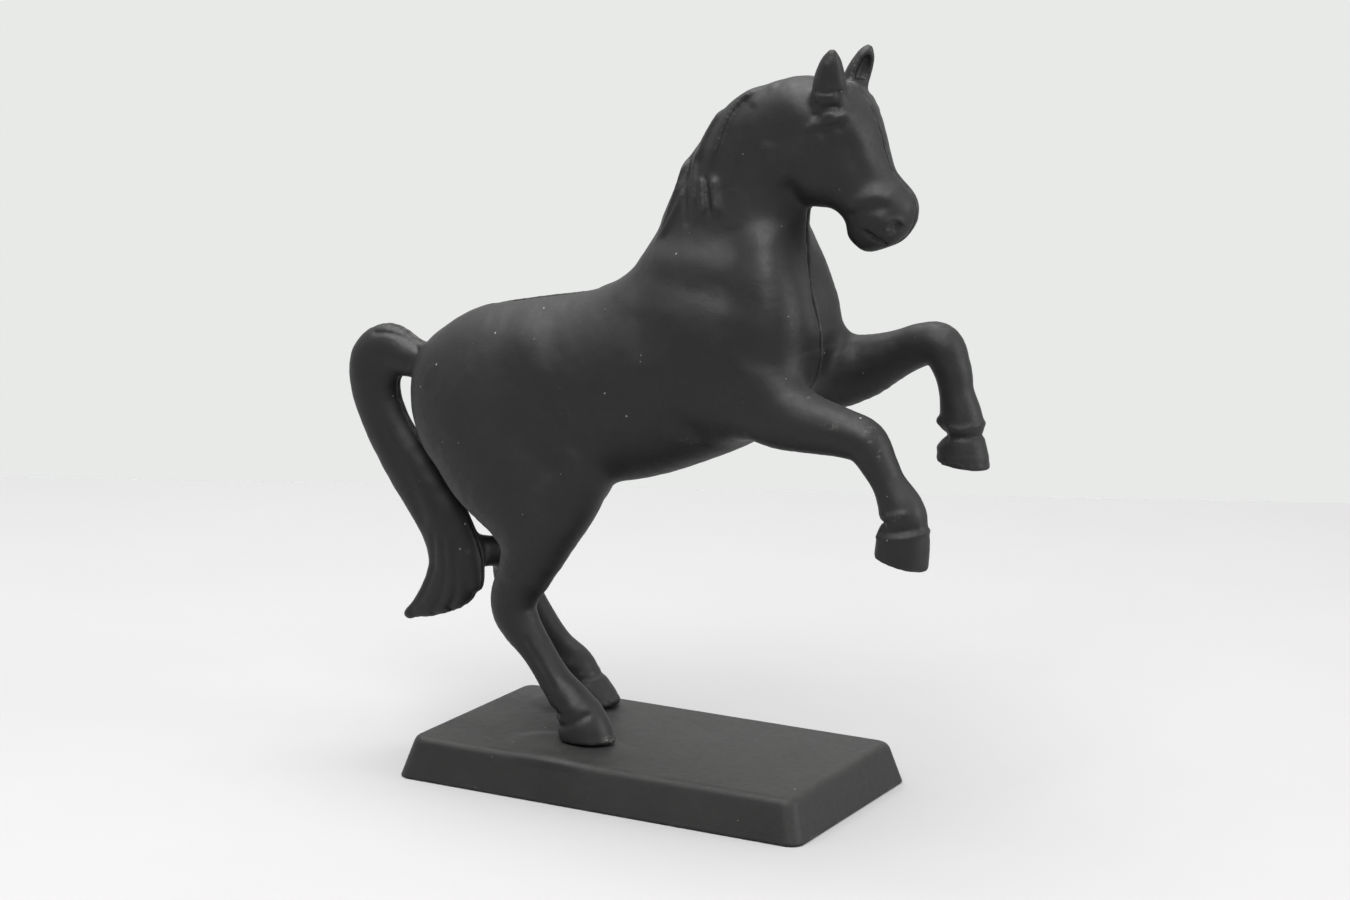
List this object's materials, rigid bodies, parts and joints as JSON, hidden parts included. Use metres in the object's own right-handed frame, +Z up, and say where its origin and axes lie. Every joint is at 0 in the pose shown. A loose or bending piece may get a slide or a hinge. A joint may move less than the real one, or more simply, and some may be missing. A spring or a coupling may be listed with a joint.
{
  "type": "coin bank",
  "caption": "Matte-black cast-iron coin bank shaped as a rearing horse on a rectangular base, in screwed halves with a coin slot in the back.",
  "frame": {"origin": "centre of the whole bank's box, on the surface it stands on (underside of the base plate)", "axes": "+X the way the horse faces, +Y the horse's left side, +Z up"},
  "size_m": [0.1714, 0.0626, 0.1846],
  "materials": {
    "black_iron": "matte black paint over cast iron, softly worn on the high spots",
    "base_iron": "matte black paint over cast iron, a little dusty",
    "screw_steel": "blackened steel, bright in the driver slot",
    "nut_steel": "plain steel"
  },
  "bodies": {
    "bank": {"right_half": "black_iron", "base_plate": "base_iron", "body_screw_nut": "nut_steel", "hoof_stud": "nut_steel"},
    "left_half": {"left_half": "black_iron"},
    "screw_washer": {"body_screw_washer": "screw_steel"},
    "body_screw": {"body_screw": "screw_steel"}
  },
  "joints": [
    {"name": "left_half_off", "type": "slide", "parent": "bank", "child": "left_half", "axis": [0, 1, 0], "range_m": [0, 0.07]},
    {"name": "body_screw_travel", "type": "slide", "parent": "left_half", "child": "screw_washer", "axis": [0, 1, 0], "range_m": [0, 0.004]},
    {"name": "body_screw_turn", "type": "hinge", "parent": "screw_washer", "child": "body_screw", "pos_m": [0.00053, 0.01, 0.098], "axis": [0, 1, 0], "range_deg": [0, 1801]}
  ],
  "couplings": [
    {"joint": "body_screw_turn", "follows": "body_screw_travel", "rad_per_m": 7854}
  ]
}
